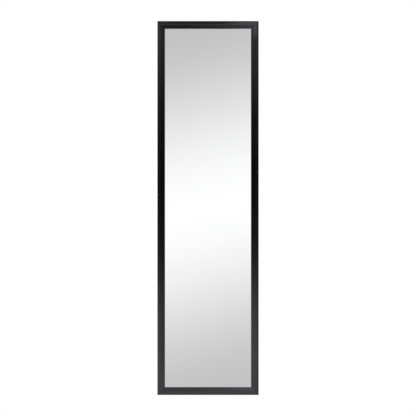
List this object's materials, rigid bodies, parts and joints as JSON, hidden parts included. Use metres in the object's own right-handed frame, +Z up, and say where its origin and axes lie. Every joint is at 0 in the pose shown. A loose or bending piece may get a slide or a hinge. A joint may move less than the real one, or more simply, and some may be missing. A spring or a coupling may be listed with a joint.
{
  "type": "over-the-door mirror",
  "caption": "Tall rectangular mirror in a mitred black cushion-profile frame that hangs over a door on slotted steel hooks which slide out from behind the frame.",
  "frame": {"origin": "on the door's top edge, midway between the two hooks, in the plane of the door face that the rubber buttons rest on", "axes": "+Z up, +Y from the mirror through the door, +X to the right as seen by a person in front of the glass, which faces -Y"},
  "size_m": [0.3396, 0.0643, 1.254],
  "materials": {
    "frame": "satin black extruded moulding",
    "mirror": "silvered float glass with ground edges",
    "backing": "brown hardboard, smooth side out",
    "steel": "bare steel",
    "zinc": "bright zinc plate",
    "felt": "pressed grey felt",
    "rubber": "soft black rubber"
  },
  "bodies": {
    "mirror": {"top_rail": "frame", "bottom_rail": "frame", "left_stile": "frame", "right_stile": "frame", "mirror_glass": "mirror", "backing_board": "backing", "corner_nail_1": "steel", "corner_nail_2": "steel", "corner_nail_3": "steel", "corner_nail_4": "steel", "corner_nail_5": "steel", "corner_nail_6": "steel", "corner_nail_7": "steel", "corner_nail_8": "steel", "retaining_point_01": "steel", "retaining_point_02": "steel", "retaining_point_03": "steel", "retaining_point_04": "steel", "retaining_point_05": "steel", "retaining_point_06": "steel", "retaining_point_07": "steel", "retaining_point_08": "steel", "retaining_point_09": "steel", "retaining_point_10": "steel", "retaining_point_11": "steel", "retaining_point_12": "steel", "retaining_point_13": "steel", "retaining_point_14": "steel", "hanger_screw_1": "zinc", "hanger_screw_2": "zinc", "hanger_screw_3": "zinc", "hanger_screw_4": "zinc", "upper_left_bumper": "rubber", "upper_right_bumper": "rubber", "lower_left_bumper": "rubber", "lower_right_bumper": "rubber"},
    "left_hanger": {"left_hanger_strap": "zinc", "left_felt_pad": "felt"},
    "right_hanger": {"right_hanger_strap": "zinc", "right_felt_pad": "felt"}
  },
  "joints": [
    {"name": "left_hanger_slide", "type": "slide", "parent": "mirror", "child": "left_hanger", "axis": [0, 0, 1], "range_m": [0, 0.1]},
    {"name": "right_hanger_slide", "type": "slide", "parent": "mirror", "child": "right_hanger", "axis": [0, 0, 1], "range_m": [0, 0.1]}
  ]
}
